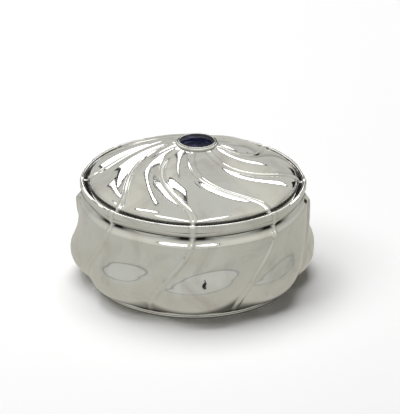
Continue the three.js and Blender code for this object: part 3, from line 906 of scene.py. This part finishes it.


# The table twice: one that only the camera sees, and one a hair lower that only the silver mirrors. That
# one glows, greyer than the seen one, with the box's shadow painted on it and darker towards the box
def makeTables():
    table = {
        "seen": "#FCFCFC",
        "far": "#C8C7C0",
        "near": "#C4C1B8",
        "rightShadowColour": "#F2F2F0",  # painted shadow of the box, laid over the mirrored table to its right
        "rightShadowSpan": (45, 120),  # mm
        "underBox": "#55544F",  # the box's own shadow
        "underRadius": 43,  # mm
        "nearRadius": 50,
        "farRadius": 160,
        "shadowAside": 2,  # mm that the shadow lies to the right
        "radius": 1600,
        "segments": 96,
        "drop": 0.1,
    }
    for name in ("table_seen", "table_mirrored"):
        seen = name == "table_seen"
        material = newMaterial(name)
        tree = material.node_tree
        if seen:
            shader = addNode(tree, "ShaderNodeBsdfDiffuse", {"Color": colourOf(table["seen"])})
        else:
            place = addNode(tree, "ShaderNodeTexCoord").outputs["Object"]
            aside = Vector((table["shadowAside"] * mm, 0, 0))
            moved = addNode(tree, vectors, {0: place, 1: aside}, operation="SUBTRACT")
            away = addNode(tree, vectors, {0: moved}, operation="LENGTH").outputs["Value"]
            # painted shadow: darkest under the box, fading to the table's grey further out
            under, near, far = [table[key] * mm for key in ("underRadius", "nearRadius", "farRadius")]
            shade = faded(tree, away, (under, near), table["underBox"], table["near"], kind="SMOOTHSTEP")
            shade = faded(tree, away, (near, far), shade, table["far"], kind="SMOOTHSTEP")
            across = addNode(tree, "ShaderNodeSeparateXYZ", {0: place}).outputs["X"]
            rightShadowSpan = [x * mm for x in table["rightShadowSpan"]]
            rightShadowLayer = faded(tree, across, rightShadowSpan, "#FFFFFF", table["rightShadowColour"])
            shade = addNode(tree, "ShaderNodeMix", {
                0: 1.0, 6: shade, 7: rightShadowLayer}, data_type="RGBA", blend_type="MULTIPLY").outputs[2]
            shader = addNode(tree, "ShaderNodeEmission", {"Color": shade})
        addNode(tree, "ShaderNodeOutputMaterial", {"Surface": shader})
        build = bmesh.new()
        bmesh.ops.create_circle(
            build, cap_ends=True, segments=table["segments"], radius=table["radius"] * mm)
        drop = Matrix.Translation((0, 0, 0 if seen else -table["drop"] * mm))
        setUp(name, build, drop, material, seen=seen, mirrored=not seen)


# Way from the box at an azimuth, in degrees from the front towards +X, and an elevation
def wayTo(azimuth, elevation):
    a, e = math.radians(azimuth), math.radians(elevation)
    return Vector((math.sin(a) * math.cos(e), -math.cos(a) * math.cos(e), math.sin(e)))


# Turn that lays a flat thing square across the way, leant about it
def acrossWay(way, lean):
    return way.to_track_quat("Z", "Y").to_matrix().to_4x4() @ Matrix.Rotation(math.radians(lean), 4, "Z")


# Softboxes that only the silver mirrors, behind the box, at its left and over the camera, and two lamps
# that light the table and the stone and do not show in the silver
def makeLamps():
    # name, azimuth, elevation, distance and size in mm, lean in degrees, brightness, whether it shows
    lamps = (
        ("back_right_softbox", 160, 37, 900, 140, 430, -22, 3.0, True),
        ("back_middle_softbox", 179, 46, 900, 210, 370, 0, 3.0, True),
        ("back_left_softbox", -163, 36, 900, 165, 450, 0, 3.0, True),
        ("left_strip", -151, 52, 900, 40, 420, 0, 3.0, True),
        ("left_softbox", -121, 63, 900, 80, 300, 0, 3.0, True),
        ("front_softbox", -4, 66, 900, 820, 400, 0, 2.0, True),
        ("overhead_light", -165, 72, 1800, 1450, 1100, 0, 5.9, False),
        ("side_light", -76, 56, 1500, 900, 700, 0, 3.7, False),
    )
    for name, azimuth, elevation, distance, width, depth, lean, brightness, mirrored in lamps:
        data = bpy.data.lights.new(name, "AREA")
        data.shape = "RECTANGLE"
        data.size = width * mm
        data.size_y = depth * mm
        data.energy = brightness * math.pi * data.size * data.size_y
        lamp = linked(name, data)
        lamp.visible_glossy = mirrored
        lamp.visible_diffuse = not mirrored
        way = wayTo(azimuth, elevation)
        lamp.location = way * distance * mm
        lamp.rotation_euler = acrossWay(way, lean).to_euler()
    return [row[:7] for row in lamps if row[-1]]  # the softboxes, up to their lean


# Dark things that the silver mirrors: the camera, a stand, a flag and the black rims of the softboxes
def makeDarkCards(softboxes):
    card = {
        "colour": "#202020",
        "rim": 20,  # mm of black round a softbox
        "behind": 5,  # mm that a rim stands behind its softbox
        "roundSegments": 32,
    }
    black = newMaterial("black_cloth")
    shader = addNode(black.node_tree, "ShaderNodeEmission", {"Color": colourOf(card["colour"])})
    addNode(black.node_tree, "ShaderNodeOutputMaterial", {"Surface": shader})
    # name, azimuth, elevation, distance and size in mm, lean in degrees
    cards = [
        ("dark_camera", 5, 23, 900, 75, 165, 35),
        ("dark_stand", 147, 7, 880, 230, 260, 0),
        ("dark_flag", 180, 20.5, 880, 300, 260, 0),
    ]
    wider = 2 * card["rim"]
    for name, azimuth, elevation, distance, width, depth, lean in softboxes:
        further = distance + card["behind"]
        cards.append((name + "_rim", azimuth, elevation, further, width + wider, depth + wider, lean))
    for name, azimuth, elevation, distance, width, depth, lean in cards:
        build = bmesh.new()
        if name == "dark_camera":
            bmesh.ops.create_circle(build, cap_ends=True, segments=card["roundSegments"], radius=0.5)
        else:
            bmesh.ops.create_grid(build, x_segments=1, y_segments=1, size=0.5)
        way = wayTo(azimuth, elevation)
        sized = Matrix.Diagonal((width * mm, depth * mm, 1, 1))
        place = Matrix.Translation(way * distance * mm) @ acrossWay(way, lean) @ sized
        setUp(name, build, place, black, seen=False, mirrored=True)


# The photograph's view
def makeCamera():
    view = {
        "elevation": 24.6,  # degrees, at the point below
        "pointHeight": 40.5,  # mm, a point on the box's axis
        "distance": 1000.0,
        "aimRight": 2.9,  # mm from that point to the middle of the picture
        "aimDown": 9.9,
        "roll": 0.6,  # degrees
        "lens": 212.35,
        "nearest": 0.05,  # metres
        "farthest": 50,
    }
    camera = bpy.data.cameras.new("camera")
    camera.lens = view["lens"]
    camera.clip_start = view["nearest"]
    camera.clip_end = view["farthest"]
    eye = bpy.data.objects.new("camera", camera)
    bpy.context.scene.collection.objects.link(eye)
    e = math.radians(view["elevation"])
    point = Vector((0, 0, view["pointHeight"] * mm))
    back = Vector((0, -math.cos(e), math.sin(e)))
    up = Vector((0, math.sin(e), math.cos(e)))
    eye.location = point + back * view["distance"] * mm
    target = point + Vector((view["aimRight"] * mm, 0, 0)) - up * view["aimDown"] * mm
    aim = (target - eye.location).to_track_quat("-Z", "Y").to_matrix().to_4x4()
    roll = Matrix.Rotation(math.radians(view["roll"]), 4, "Z")
    eye.matrix_world = Matrix.Translation(eye.location) @ aim @ roll
    bpy.context.scene.camera = eye


makeTent()
makeTables()
makeDarkCards(makeLamps())
makeCamera()
bpy.context.scene.view_settings.view_transform = "Standard"
print("studio and camera placed")
